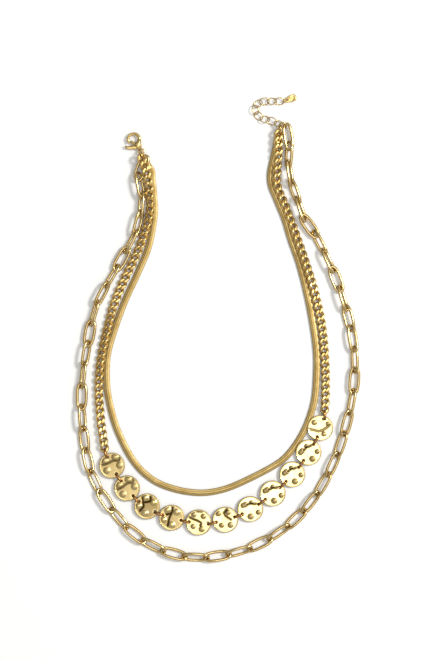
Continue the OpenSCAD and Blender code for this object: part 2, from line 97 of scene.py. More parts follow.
# Hammered lumps of a disc: place along and across the chain, and radius, as shares of its radius
LUMPS_LEFT = [(-0.48, 0.5, 0.27), (0.25, 0.53, 0.27), (-0.58, -0.33, 0.26), (0.15, -0.53, 0.28)]
LUMPS_MIDDLE = [(-0.4, 0.6, 0.22), (0.35, 0.5, 0.22), (-0.4, -0.34, 0.2), (0.28, -0.5, 0.24)]
LUMPS_RIGHT = [(-0.34, 0.53, 0.2), (-0.16, 0.49, 0.23), (0.33, 0.4, 0.18), (-0.27, -0.51, 0.25),
               (0.41, -0.53, 0.2)]
LUMPS_LAST = [(0.25, 0.58, 0.22), (-0.35, -0.42, 0.2), (0.5, -0.45, 0.18)]
DISC_LUMPS = 4 * [LUMPS_LEFT] + 2 * [LUMPS_MIDDLE] + 4 * [LUMPS_RIGHT] + [LUMPS_LAST]
# Painted shade that each disc gets on its lumps, on its face and in its grooves
DISC_SHADE_SHARES = [(0.3, 0.24, 0.6), (0.3, 0.24, 0.6), (0.08, 0.4, 1), (0.1, 0.28, 1),
                (0.35, 0.04, 1), (0.4, 0, 1), (0.45, 0, 0.8), (0.5, 0, 0.8), (0.5, 0, 0.8),
                (0.5, 0, 0.8), (0.35, 0, 0.4)]
# Grooves hammered into the discs' faces: lines through points in the same shares
GROOVE_LEFT = [(-0.45, -0.77), (-0.32, -0.39), (-0.3, 0.18), (-0.12, 0.58), (-0.24, 0.77)]
GROOVE_RIGHT = [(-0.05, 0.4), (0.2, 0.36), (0.42, 0.2), (0.7, 0.06)]
DISC_GROOVES = [
    [GROOVE_LEFT], [GROOVE_LEFT],
    [[(-0.82, 0.52), (-0.45, 0.06), (-0.25, -0.17), (-0.3, -0.62)],
     [(-0.45, 0.06), (-0.06, 0.44), (-0.2, 0.76)]],
    [[(-0.2, 0.87), (-0.12, 0.43), (-0.19, -0.05), (-0.16, -0.7)],
     [(-0.13, 0.35), (-0.3, 0.2), (-0.5, 0.12)]],
    [[(-0.9, 0.4), (-0.47, 0.23), (-0.16, 0.13), (0.15, -0.04), (0.13, -0.26)],
     [(-0.2, 0.85), (0.16, 0.86)]],
    [[(0.31, 0.74), (0.03, 0.53), (0.02, 0.35), (0.15, 0.16), (0.38, -0.1)]],
    [GROOVE_RIGHT], [GROOVE_RIGHT], [GROOVE_RIGHT], [GROOVE_RIGHT],
    [[(-0.38, 0.8), (-0.32, 0.4), (-0.27, 0.0), (0.04, -0.36), (0.46, -0.61)]]]


def mm_property(name, text, default):
    """A length in millimetres that the user can change."""
    return bpy.props.FloatProperty(name=name, description=text, default=default, min=0.05,
                                   max=60.0, precision=2, unit="NONE")


def colour_property(name, text, code):
    """A colour that the user can change, from its sRGB code."""
    return bpy.props.FloatVectorProperty(name=name, description=text, default=from_hex(code),
                                         size=3, min=0.0, max=1.0, subtype="COLOR")


def from_hex(code):
    """Linear colour of an sRGB code such as F3CE82: each channel's curve is undone."""
    channels = np.array([int(code[i:i + 2], 16) for i in (0, 2, 4)]) / 255
    linear = np.where(channels <= 0.04045, channels / 12.92, ((channels + 0.055) / 1.055) ** 2.4)
    return tuple(float(c) for c in linear)


class NecklaceSizes(bpy.types.PropertyGroup):
    """Sizes of the pieces, in millimetres.

    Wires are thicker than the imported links' own, so neighbouring links run into each other.
    """
    oval_length: mm_property("Oval link length", "Outside length of a link", 14.8)
    oval_width: mm_property("Oval link width", "Outside width of a link", 6.1)
    oval_wire: mm_property("Oval link wire", "Diameter of the links' wire", 1.52)
    curb_reach: mm_property("Curb link reach", "Half of the middle line's length", 2.48)
    curb_breadth: mm_property("Curb link breadth", "Half of the middle line's width", 1.66)
    curb_wire: mm_property("Curb link wire", "Diameter of the links' wire", 1.48)
    curb_face: mm_property("Curb chain face", "Height of the cut faces over the middle", 1.2)
    snake_width: mm_property("Snake chain width", "Width of the flat band", 3.3)
    snake_thickness: mm_property("Snake chain thickness", "Thickness of the flat band", 1.4)
    disc_diameter: mm_property("Disc diameter", "Diameter of a hammered disc", 13.1)
    disc_thickness: mm_property("Disc thickness", "Thickness of a disc's sheet", 1.0)
    disc_relief: mm_property("Disc relief", "Height of the hammered lumps", 0.45)
    disc_hole: mm_property("Disc hole", "Diameter of a disc's two holes", 1.5)
    disc_gap: mm_property("Disc gap", "Gap between two discs", 0.85)
    disc_hole_in: mm_property("Disc hole edge", "Hole's centre to the disc's edge", 1.75)
    ring_height: mm_property("Disc ring height", "Height of the rings between discs", 3.8)
    ring_wire: mm_property("Disc ring wire", "Diameter of the rings' wire", 1.35)
    end_ring: mm_property("End ring diameter", "Outside diameter of the end rings", 5.6)
    end_ring_wire: mm_property("End ring wire", "Diameter of the end rings' wire", 0.8)
    eye_wire: mm_property("Eye wire", "Diameter of the wire of eyes and small rings", 0.7)
    extender_wire: mm_property("Extender wire", "Diameter of the extender's wire", 0.5)


class NecklaceColours(bpy.types.PropertyGroup):
    """Colours of the platings and of the table."""
    link_gold: colour_property("Link gold", "Plating of the oval links", "D4BA84")
    curb_gold: colour_property("Curb gold", "Plating of the curb chain", "E5C682")
    snake_gold: colour_property("Snake gold", "Plating of the flat band", "B99F68")
    disc_gold: colour_property("Disc gold", "Plating of the discs", "DCC48C")
    copper_gold: colour_property("Copper gold", "Plating of the rings by the discs", "A87C4A")
    clasp_gold: colour_property("Clasp gold", "Plating of the clasp, tag and rings", "D4B878")
    # Painted shade: the dark colour mixed in on the curb links' lower parts, the band's sides and
    # creases, and the discs' lumps, faces, grooves and rims
    painted_shade_gold: colour_property("Old gold", "Darkened plating in the hollows", "402D0A")
    table: colour_property("Table", "The pale table", "F8F8F6")


def unit(vectors):
    """Each vector divided by its length."""
    return vectors / np.linalg.norm(vectors, axis=-1, keepdims=True)


def smooth_curve(points, places):
    """Smooth curve through rows of values: four neighbouring rows give each stretch its cubic."""
    points = np.asarray(points, float)
    last = len(points) - 1
    i = np.minimum(np.floor(places).astype(int), last - 1)
    f = (places - i)[:, None]
    p0, p1 = points[np.maximum(i - 1, 0)], points[i]
    p2, p3 = points[i + 1], points[np.minimum(i + 2, last)]
    return 0.5 * (2 * p1 + (p2 - p0) * f + (2 * p0 - 5 * p1 + 4 * p2 - p3) * f ** 2
                  + (3 * p1 - p0 - 3 * p2 + p3) * f ** 3)


def even_curve(points, step):
    """The smooth curve at equal steps of its length on the table."""
    fine = smooth_curve(points, np.linspace(0, len(points) - 1, 40 * len(points)))
    travel = np.append(0, np.cumsum(np.linalg.norm(np.diff(fine[:, :2], axis=0), axis=1)))
    count = max(int(round(travel[-1] / step)), 2) + 1
    stops = np.linspace(0, travel[-1], count)
    return np.stack([np.interp(stops, travel, fine[:, k]) for k in range(fine.shape[1])], axis=1)


def solid_places(node):
    """Centre and main directions of each loose solid of a node, from its surface's moments.

    Triangles that share a corner belong to one solid. The rows of a solid's directions run
    along its longest, middle and shortest side.
    """
    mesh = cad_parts[node].data
    mesh.calc_loop_triangles()
    points = np.empty(3 * len(mesh.vertices))
    mesh.vertices.foreach_get("co", points)
    corners = np.empty(3 * len(mesh.loop_triangles), int)
    mesh.loop_triangles.foreach_get("vertices", corners)
    places, same = np.unique(np.round(points.reshape(-1, 3) / MM, 4), axis=0,
                             return_inverse=True)
    corners = same.reshape(-1)[corners].reshape(-1, 3)
    label = np.arange(len(places))
    while True:
        lowest = label[corners].min(axis=1)
        joined = label.copy()
        for k in range(3):
            np.minimum.at(joined, corners[:, k], lowest)
        joined = joined[joined]
        if np.array_equal(joined, label):
            break
        label = joined
    _, solid = np.unique(label[corners[:, 0]], return_inverse=True)
    a, b, c = (places[corners[:, k]] for k in range(3))
    area = np.linalg.norm(np.cross(b - a, c - a), axis=1) / 2
    total = np.bincount(solid, area)
    middle = (a + b + c) / 3
    centres = np.stack([np.bincount(solid, area * middle[:, k]) for k in range(3)],
                       axis=1) / total[:, None]
    spread = np.zeros((len(total), 3, 3))
    a, b, c = (corner - centres[solid] for corner in (a, b, c))
    for off in (a, b, c, a + b + c):
        np.add.at(spread, solid, area[:, None, None] / 12 * off[:, :, None] * off[:, None, :])
    _, directions = np.linalg.eigh(spread)
    rows = np.swapaxes(directions, 1, 2)[:, ::-1]
    rows[:, 2] = np.cross(rows[:, 0], rows[:, 1])
    return centres, rows


def placed(shape, centres, rows):
    """A shape's points set down at each centre, its axes turned to the rows given there."""
    flat = shape.reshape(-1, 3)
    return (centres[:, None, :] + np.einsum("pk,nkj->npj", flat, rows)).reshape(
        (len(centres),) + shape.shape)


def closed_tube(line, wire, sides, up=(0.0, 0.0, 1.0)):
    """Round wire on a closed line: line + wire / 2 * (cos a * side + sin a * top).

    The side is square to the line and to the direction up, and the top completes the frame.
    """
    along = unit(np.roll(line, -1, axis=0) - np.roll(line, 1, axis=0))
    side = unit(np.cross(up, along))
    top = np.cross(along, side)
    a = np.linspace(0, 2 * np.pi, sides, endpoint=False)[:, None]
    return line[:, None] + wire / 2 * (np.cos(a) * side[:, None] + np.sin(a) * top[:, None])


def superellipse(angle, roundness):
    """Both coordinates of the points on |x| ^ n + |y| ^ n = 1, where n is the roundness."""
    x, y = np.cos(angle), np.sin(angle)
    power = 2 / roundness
    return np.sign(x) * np.abs(x) ** power, np.sign(y) * np.abs(y) ** power


def oval_ring(length, width, wire, roundness, steps, sides):
    """Oval ring: its middle line is a superellipse as long and wide as the wire leaves room."""
    x, y = superellipse(np.linspace(0, 2 * np.pi, steps, endpoint=False), roundness)
    line = np.stack([(length - wire) / 2 * x, (width - wire) / 2 * y, np.zeros(steps)], axis=1)
    return closed_tube(line, wire, sides)


def curb_link(reach, breadth, wire, face, steps, sides):
    """Twisted oval ring whose top and bottom are cut flat.

    Its middle line is (a cos t, b sin t cos w, b sin t sin w), where w = 45 deg * sin(90 deg
    * cos t) leans the two ends opposite ways. Points past the cut face slide back onto it.
    """
    t = np.linspace(0, 2 * np.pi, steps, endpoint=False)
    lean = math.radians(45) * np.sin(np.pi / 2 * np.cos(t))
    line = np.stack([reach * np.cos(t), breadth * np.sin(t) * np.cos(lean),
                     breadth * np.sin(t) * np.sin(lean)], axis=1)
    up = np.stack([np.zeros(steps), -np.sin(lean), np.cos(lean)], axis=1)
    points = closed_tube(line, wire, sides, up)
    points[..., 2] = np.clip(points[..., 2], -face, face)
    return points


def swept(spine, steps, sides, roundness):
    """Section |y / w| ^ n + |z / h| ^ n = 1 carried along a flat spine of (x, y, w, h) rows."""
    rows = smooth_curve(spine, np.linspace(0, len(spine) - 1, steps))
    along = unit(np.gradient(rows[:, :2], axis=0))
    across = np.stack([-along[:, 1], along[:, 0]], axis=1)
    y, z = superellipse(np.linspace(0, 2 * np.pi, sides, endpoint=False), roundness)
    flat = rows[:, None, :2] + across[:, None] * (rows[:, 2, None] * y)[..., None]
    return np.concatenate([flat, (rows[:, 3, None] * z)[..., None]], axis=2)


def grid_faces(rows, columns, closed):
    """Four-cornered faces of a grid whose columns close on themselves, and its rows if closed."""
    i = np.arange(rows if closed else rows - 1)[:, None]
    j = np.arange(columns)[None]
    i2, j2 = (i + 1) % rows, (j + 1) % columns
    return np.stack([i * columns + j, i2 * columns + j, i2 * columns + j2, i * columns + j2],
                    axis=-1).reshape(-1, 4)


def copies(grids, closed):
    """Points and faces of many grids of one kind; open grids get a face over each end."""
    count, rows, columns = grids.shape[:3]
    size = rows * columns
    faces = [list(f) for f in (grid_faces(rows, columns, closed)[None]
             + size * np.arange(count)[:, None, None]).reshape(-1, 4)]
    if not closed:
        start = np.arange(columns)
        for k in range(count):
            faces.append(list(k * size + start[::-1]))
            faces.append(list(k * size + size - columns + start))
    return grids.reshape(-1, 3), faces


def make_piece(name, parts, material, body, nodes, shade=None):
    """One object from parts of (points, faces), on a body, standing for CAD nodes.

    shade holds how much painted shade each point gets, which the material reads as a point
    attribute.
    """
    points, faces, start = [], [], 0
    for part_points, part_faces in parts:
        points.append(part_points)
        faces += [[int(v) + start for v in face] for face in part_faces]
        start += len(part_points)
    mesh = bpy.data.meshes.new(name)
    mesh.from_pydata((np.concatenate(points) * MM).tolist(), [], faces)
    if shade is not None:
        mesh.attributes.new("painted_shade", "FLOAT", "POINT").data.foreach_set("value", shade)
    shell = bmesh.new()
    shell.from_mesh(mesh)
    bmesh.ops.remove_doubles(shell, verts=shell.verts, dist=MM * 0.001)
    bmesh.ops.dissolve_degenerate(shell, edges=shell.edges, dist=MM * 0.001)
    bmesh.ops.recalc_face_normals(shell, faces=shell.faces)
    shell.to_mesh(mesh)
    shell.free()
    mesh.shade_smooth()
    mesh.materials.append(material)
    piece = bpy.data.objects.new(name, mesh)
    bpy.context.scene.collection.objects.link(piece)
    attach(piece, body)
    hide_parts(*nodes)
    return piece


def add_node(owner, kind, links=None, **settings):
    """Adds one node to a material or world; links maps inputs to sockets or values."""
    node = owner.node_tree.nodes.new(kind)
    for key, value in settings.items():
        setattr(node, key, value)
    for name, value in (links or {}).items():
        if isinstance(value, bpy.types.NodeSocket):
            owner.node_tree.links.new(value, node.inputs[name])
        else:
            node.inputs[name].default_value = value
    return node


def gold_plate(name, bright, worn, roughness, grain_mm, grain_height_mm):
    """Gold plated brass, cast or drawn and tumbled: smooth, with a fine uneven grain.

    Broad uneven patches change the roughness a little, and a fine grain breaks the highlights.
    """
    material = bpy.data.materials.new(name)
    material.use_nodes = True
    shader = material.node_tree.nodes["Principled BSDF"]
    shader.inputs["Metallic"].default_value = 1.0
    place = add_node(material, "ShaderNodeTexCoord").outputs["Object"]
    patches = add_node(material, "ShaderNodeTexNoise",
                       {"Vector": place, "Scale": 1 / (4 * MM), "Detail": 3.0})
    tone = add_node(material, "ShaderNodeMix", data_type="RGBA")
    tone.inputs["A"].default_value = (*worn, 1.0)
    tone.inputs["B"].default_value = (*bright, 1.0)
    strength = add_node(material, "ShaderNodeMapRange",
                        {"Value": patches.outputs["Fac"], "From Min": 0.3, "From Max": 0.7,
                         "To Min": 0.0, "To Max": 1.0})
    material.node_tree.links.new(strength.outputs["Result"], tone.inputs["Factor"])
    material.node_tree.links.new(tone.outputs["Result"], shader.inputs["Base Color"])
    rough = add_node(material, "ShaderNodeMapRange",
                     {"Value": patches.outputs["Fac"], "From Min": 0.3, "From Max": 0.7,
                      "To Min": roughness * 1.25, "To Max": roughness * 0.85})
    material.node_tree.links.new(rough.outputs["Result"], shader.inputs["Roughness"])
    grain = add_node(material, "ShaderNodeTexNoise",
                     {"Vector": place, "Scale": 1 / (grain_mm * MM), "Detail": 2.0})
    bump = add_node(material, "ShaderNodeBump",
                    {"Height": grain.outputs["Fac"], "Distance": grain_height_mm * MM,
                     "Strength": 1.0})
    material.node_tree.links.new(bump.outputs["Normal"], shader.inputs["Normal"])
    return material


def plating(name, bright, roughness=0.2, grain_mm=0.6, grain_height_mm=0.01):
    """The named plating, made once; its worn patches are a darker tone of the same gold."""
    found = bpy.data.materials.get(name)
    if found:
        return found
    worn = tuple(c * share for c, share in zip(bright, (0.86, 0.82, 0.68)))
    return gold_plate(name, tuple(bright), worn, roughness, grain_mm, grain_height_mm)


def shade_painted_plating(name, bright, roughness, grain_mm, grain_height_mm):
    """Plating with painted shade: a dark, duller colour mixed in where shade would fall.

    A point attribute says how much of the painted shade colour shows at each point.
    """
    material = plating(name, bright, roughness, grain_mm, grain_height_mm)
    shader = material.node_tree.nodes["Principled BSDF"]
    plate = shader.inputs["Base Color"].links[0].from_socket
    # Painted shade: the attribute mixes the dark colour into the plating and dulls it
    painted_shade = add_node(material, "ShaderNodeAttribute", attribute_name="painted_shade")
    shade_mix = add_node(material, "ShaderNodeMix", data_type="RGBA")
    shade_mix.inputs["B"].default_value = (*colours().painted_shade_gold, 1.0)
    material.node_tree.links.new(plate, shade_mix.inputs["A"])
    material.node_tree.links.new(painted_shade.outputs["Fac"], shade_mix.inputs["Factor"])
    material.node_tree.links.new(shade_mix.outputs["Result"], shader.inputs["Base Color"])
    polish = shader.inputs["Roughness"].links[0].from_socket
    dull = add_node(material, "ShaderNodeMapRange",
                    {"Value": painted_shade.outputs["Fac"], "From Max": 0.4, "To Min": polish,
                     "To Max": 0.5})
    material.node_tree.links.new(dull.outputs["Result"], shader.inputs["Roughness"])
    return material


def sizes():
    return bpy.context.scene.necklace_sizes


def colours():
    return bpy.context.scene.necklace_colours


class NECKLACE_OT_oval_chain(bpy.types.Operator):
    """Draws the long oval links of the outer strand."""
    bl_idname = "necklace.oval_chain"
    bl_label = "Oval link chain"

    def execute(self, context):
        size = sizes()
        gold = plating("polished_link_gold", colours().link_gold, 0.16)
        link = oval_ring(size.oval_length, size.oval_width, size.oval_wire, 2.7, 72, 14)
        for node in ("oval_chain_left", "oval_chain_right"):
            links = placed(link, *solid_places(node))
            make_piece(node + "_links", [copies(links, True)], gold,
                       STRANDS_BODY, [node])
        return {"FINISHED"}


class NECKLACE_OT_curb_chain(bpy.types.Operator):
    """Draws the twisted and cut links on both sides of the discs."""
    bl_idname = "necklace.curb_chain"
    bl_label = "Curb chain"

    # Share of painted shade on the links' lower parts, which show dark in the gaps between links
    shade_share = 0.45

    def execute(self, context):
        size = sizes()
        gold = shade_painted_plating("cut_curb_gold", colours().curb_gold, 0.3, 0.6, 0.008)
        link = curb_link(size.curb_reach, size.curb_breadth, size.curb_wire, size.curb_face,
                         36, 14)
        for node in ("curb_chain_left", "curb_chain_right"):
            centres, rows = solid_places(node)
            links = placed(link, centres, rows)
            # Painted shade: points lower than a link's middle get more of the dark colour
            low = (centres[:, None, None, 2] - links[..., 2]) / size.curb_face + 0.3
            make_piece(node + "_links", [copies(links, True)], gold,
                       STRANDS_BODY, [node], self.shade_share * np.clip(low, 0, 1).reshape(-1))
        return {"FINISHED"}


class NECKLACE_OT_snake_chain(bpy.types.Operator):
    """Draws the flat band of fine scales and its two end caps."""
    bl_idname = "necklace.snake_chain"
    bl_label = "Snake chain"

    # Share of painted shade on the band's sides and along two creases of its top
    shade_share = 0.6
    scale_step = 1.1
    scale_depth = 0.035
    # Distance between two sections of the band, four to each scale
    step = scale_step / 4
    # Section of the band in shares of its half width and half thickness: three lengthwise faces
    section = np.array([
        (-0.7, -1), (0, -1), (0.7, -1), (0.93, -0.75), (1, -0.3), (1, 0.1), (0.98, 0.45),
        (0.91, 0.69), (0.84, 0.75), (0.6, 0.83), (0.42, 0.905), (0.35, 0.935), (0.25, 0.98),
        (0.18, 0.99), (0, 1), (-0.18, 0.99), (-0.25, 0.98), (-0.35, 0.935), (-0.42, 0.905),
        (-0.6, 0.83), (-0.84, 0.75), (-0.91, 0.69), (-0.98, 0.45), (-1, 0.1), (-1, -0.3),
        (-0.93, -0.75)])
    straight_end = 4.97
    cap_seat = 3.0
    cap_nose = 2.0
    cap_half_width = 2.0
    cap_half_height = 1.05
    eye_radius = 1.3
    eye_lift = 0.5

    def execute(self, context):
        size = sizes()
        gold = shade_painted_plating("scaled_band_gold", colours().snake_gold, 0.4, 0.3, 0.012)
        line = even_curve(SNAKE_ROUTE, self.step)
        y, z = np.abs(self.section.T)
        # Painted shade: the low sides and the two creases on top get the dark colour
        creases = (z < 0.5) | ((y > 0.2) & (y < 0.4) & (z > 0.9))
        painted_shade = np.tile(self.shade_share * creases, len(line))
        make_piece("snake_band", [copies(self.band(line, size)[None], False)], gold,
                   STRANDS_BODY, ["snake_chain"], painted_shade)
        polished = plating("polished_clasp_gold", colours().clasp_gold, 0.2)
        middle = size.snake_thickness / 2
        for name, ends in (("left", line), ("right", line[::-1])):
            inner = ends[int(self.straight_end / self.step)]
            out = unit((ends[0] - inner) * (1, 1, 0))
            rows = np.array([out, (-out[1], out[0], 0), (0, 0, 1)])[None]
            centre = (ends[0] + (0, 0, middle))[None]
            parts = [copies(placed(self.cap(), centre, rows), False),
                     copies(placed(self.eye(size), centre, rows), True)]
            node = "snake_cap_" + name
            make_piece(node + "_shell", parts, polished, STRANDS_BODY, [node])
        return {"FINISHED"}

    def band(self, line, size):
        """The band's section carried along the line, pinched once for each scale.

        The pinch is a saw tooth of the length travelled, swept back towards the edges.
        """
        along = unit(np.gradient(line, axis=0) * (1, 1, 0))
        across = np.stack([-along[:, 1], along[:, 0], np.zeros(len(line))], axis=1)
        y, z = self.section.T
        travel = np.arange(len(line))[:, None] * self.step
        tooth = ((travel / self.scale_step + 0.5 * np.abs(y)) % 1.0) ** 2
        half_width = size.snake_width / 2 - self.scale_depth * tooth
        half_height = size.snake_thickness / 2 - self.scale_depth * tooth
        middle = line[:, None] + (0, 0, size.snake_thickness / 2)
        return (middle + across[:, None] * (half_width * y)[..., None]
                + np.array((0, 0, 1.0)) * (half_height * z)[..., None])

    def cap(self):
        """Rounded box round the band's end, drawn in to a narrow nose, as flat spine rows."""
        w, h = self.cap_half_width, self.cap_half_height
        rows = np.array([(-self.cap_seat, 0, w * 0.92, h * 0.88), (-self.cap_seat + 0.15, 0, w, h),
                         (-1, 0, w, h), (0.6, 0, w, h), (1.2, 0, w * 0.9, h * 0.97),
                         (1.7, 0, w * 0.7, h * 0.85), (self.cap_nose, 0, w * 0.42, h * 0.6)])
        return swept(rows, 28, 24, 5.0)

    def eye(self, size):
        ring = oval_ring(2 * self.eye_radius + size.eye_wire, 2 * self.eye_radius + size.eye_wire,
                         size.eye_wire, 2.0, 32, 12)
        return ring + (self.cap_nose + self.eye_radius, 0, self.eye_lift)


class NECKLACE_OT_discs(bpy.types.Operator):
    """Draws the hammered discs and the oval rings that join them."""
    bl_idname = "necklace.discs"
    bl_label = "Hammered discs"

    rings = 40
    spokes = 144
    rim_width = 0.45
    rim_height = 0.1
    # Painted shade along the rim: a dark line round each disc's edge
    rim_shade = 0.85
    edge_round = 0.3
    back_round = 0.2
    # The relief rises over these widths from the rim and from the holes
    rim_fade = 0.9
    hole_fade = 0.8
    groove_depth = 0.28
    groove_width = 0.48
    wave_height = 0.01

    def execute(self, context):
        size = sizes()
        ring_centres, ring_rows = solid_places("disc_rings")
        centres = np.array([solid_places(node)[0][0] for node in DISC_NODES])
        gold = shade_painted_plating("hammered_disc_gold", colours().disc_gold, 0.14, 0.9, 0.004)
        for i, node in enumerate(DISC_NODES):
            near = np.argsort(np.linalg.norm(ring_centres - centres[i], axis=1))[:2]
            along = ring_centres[near[1]] - ring_centres[near[0]]
            onward = centres[min(i + 1, len(centres) - 1)] - centres[max(i - 1, 0)]
            along = unit(along * np.sign(along @ onward) * (1, 1, 0))
            rows = np.array([along, (-along[1], along[0], 0), (0, 0, 1)])[None]
            middle = ring_centres[near].mean(axis=0)
            middle[2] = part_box(node)[0].z / MM
            points, faces, painted_shade = self.disc(i, size)
            make_piece(node + "_sheet", [(placed(points, middle[None], rows)[0], faces)], gold,
                       STRANDS_BODY, [node], painted_shade)
        copper = plating("reddish_ring_gold", colours().copper_gold, 0.2)
        # A ring spans the gap and the two holes' places, and one wire
        span = size.disc_gap + 2 * size.disc_hole_in + size.ring_wire
        ring = oval_ring(span, size.ring_height, size.ring_wire, 2.6, 48, 12)
        rings = placed(ring, ring_centres, ring_rows)
        make_piece("disc_ring_wires", [copies(rings, True)], copper,
                   STRANDS_BODY, ["disc_rings"])
        return {"FINISHED"}

    def relief(self, number, u, v, size):
        """Height of the hammered face over the sheet, at places in shares of the radius.

        Each lump is a cap h (1 - (d / r) ^ 2), a groove is a bell curve turned down along its
        line, and low waves make the face between them uneven. The second value says how much
        painted shade each place gets.
        """
        cap = np.zeros_like(u)
        for x, y, r in DISC_LUMPS[number]:
            cap = np.maximum(cap, 1 - ((u - x) ** 2 + (v - y) ** 2) / r ** 2)
        line = np.concatenate([smooth_curve(bends, np.linspace(0, len(bends) - 1, 40))
                               for bends in DISC_GROOVES[number]])
        gap = np.sqrt(((u[..., None] - line[:, 0]) ** 2 + (v[..., None] - line[:, 1]) ** 2)
                      .min(axis=-1)) * size.disc_diameter / 2
        groove = np.exp(-(gap / self.groove_width) ** 2)
        waves = (np.sin(5.1 * u + 1.7 * number) * np.cos(4.3 * v - 0.9 * number)
                 + 0.6 * np.sin(9.7 * v + 2.1 * number + 3 * u))
        height = size.disc_relief * cap - self.groove_depth * groove + self.wave_height * waves
        # Painted shade: shares for the lumps, for the face between them and for the grooves
        on_lump = np.clip(5 * cap, 0, 1)
        on_lumps, on_face, in_grooves = DISC_SHADE_SHARES[number]
        shade_share = on_lumps * on_lump + on_face * (1 - on_lump) + in_grooves * groove
        return height, np.clip(shade_share, 0, 1)

    def disc(self, number, size):
        """Round sheet with two holes: a polar grid for each face and walls between their edges."""
        radius = size.disc_diameter / 2
        share = np.linspace(0, 1, self.rings + 1) ** 0.9
        angle = np.linspace(0, 2 * np.pi, self.spokes, endpoint=False)
        u = share[:, None] * np.cos(angle)
        v = share[:, None] * np.sin(angle)
        x, y = u * radius, v * radius
        faces = grid_faces(self.rings + 1, self.spokes, False)
        hole_at = radius - size.disc_hole_in
        hole_r = size.disc_hole / 2
        corners = np.stack([x, y], axis=-1).reshape(-1, 2)
        middle = corners[faces].mean(axis=1)
        keep = np.ones(len(faces), bool)
        for side in (-1, 1):
            keep &= np.hypot(middle[:, 0] - side * hole_at, middle[:, 1]) > hole_r
        faces = faces[keep]
        edges = np.concatenate([faces[:, [k, (k + 1) % 4]] for k in range(4)])
        key = np.sort(edges, axis=1)
        _, first, count = np.unique(key, axis=0, return_index=True, return_counts=True)
        border = edges[first[count == 1]]
        border = border[np.hypot(*corners[border[:, 0]].T) > 0.5]
        rim = np.unique(border)
        for side in (-1, 1):
            off = corners[rim] - (side * hole_at, 0)
            gap = np.hypot(off[:, 0], off[:, 1])
            here = gap < 2 * hole_r
            here &= np.hypot(*corners[rim].T) < radius - 0.01
            corners[rim[here]] = (side * hole_at, 0) + off[here] / gap[here, None] * hole_r
        x, y = corners[:, 0], corners[:, 1]
        r = np.hypot(x, y)
        inner = np.clip((radius - self.rim_width - r) / self.rim_fade, 0, 1)
        fade = inner * inner * (3 - 2 * inner)
        for side in (-1, 1):
            gap = np.hypot(x - side * hole_at, y) - hole_r
            fade = fade * np.clip(gap / self.hole_fade, 0, 1)
        height, painted_shade = self.relief(number, x / radius, y / radius, size)
        top = size.disc_thickness + height * fade
        ridge = np.clip(1 - np.abs(r - radius + self.rim_width / 2) / (self.rim_width * 0.75),
                        0, 1)
        top += self.rim_height * ridge * (2 - ridge)
        # Quarter circle at the edge, stopped just short of upright
        drop = np.clip((r - radius + self.edge_round) / self.edge_round, 0, 1)
        bevel = 1 - np.sqrt(1 - 0.96 * drop ** 2)
        top -= self.edge_round * bevel
        base = self.back_round * bevel
        points = np.concatenate([np.stack([x, y, top], axis=1), np.stack([x, y, base], axis=1)])
        n = len(x)
        walls = np.stack([border[:, 0], border[:, 1], border[:, 1] + n, border[:, 0] + n], axis=1)
        # Painted shade: the relief's share, and a dark line painted along the rim; the back gets
        # none
        edge = np.clip(1 - (radius - r) / self.rim_width, 0, 1)
        painted_shade = np.concatenate([np.maximum(painted_shade * fade, self.rim_shade * edge ** 2),
                                 np.zeros(n)])
        return points, np.concatenate([faces, faces[:, ::-1] + n, walls]).tolist(), painted_shade


class NECKLACE_OT_rings(bpy.types.Operator):
    """Draws the gathering rings, the small ring of the oval chain and the tag's ring."""
    bl_idname = "necklace.rings"
    bl_label = "Rings"

    small_ring = 4.5
    tag_ring = 2.8

    def execute(self, context):
        size = sizes()
        gold = plating("polished_clasp_gold", colours().clasp_gold, 0.2)
        table = [("end_ring_left", size.end_ring, size.end_ring_wire),
                 ("end_ring_right", size.end_ring, size.end_ring_wire),
                 ("oval_end_ring", self.small_ring, size.eye_wire),
                 ("tag_ring", self.tag_ring, size.extender_wire)]
        for node, across, wire in table:
            ring = oval_ring(across, across, wire, 2.0, 48, 14)
            rings = placed(ring, *solid_places(node))
            make_piece(node + "_wire", [copies(rings, True)], gold,
                       STRANDS_BODY, [node])
        return {"FINISHED"}


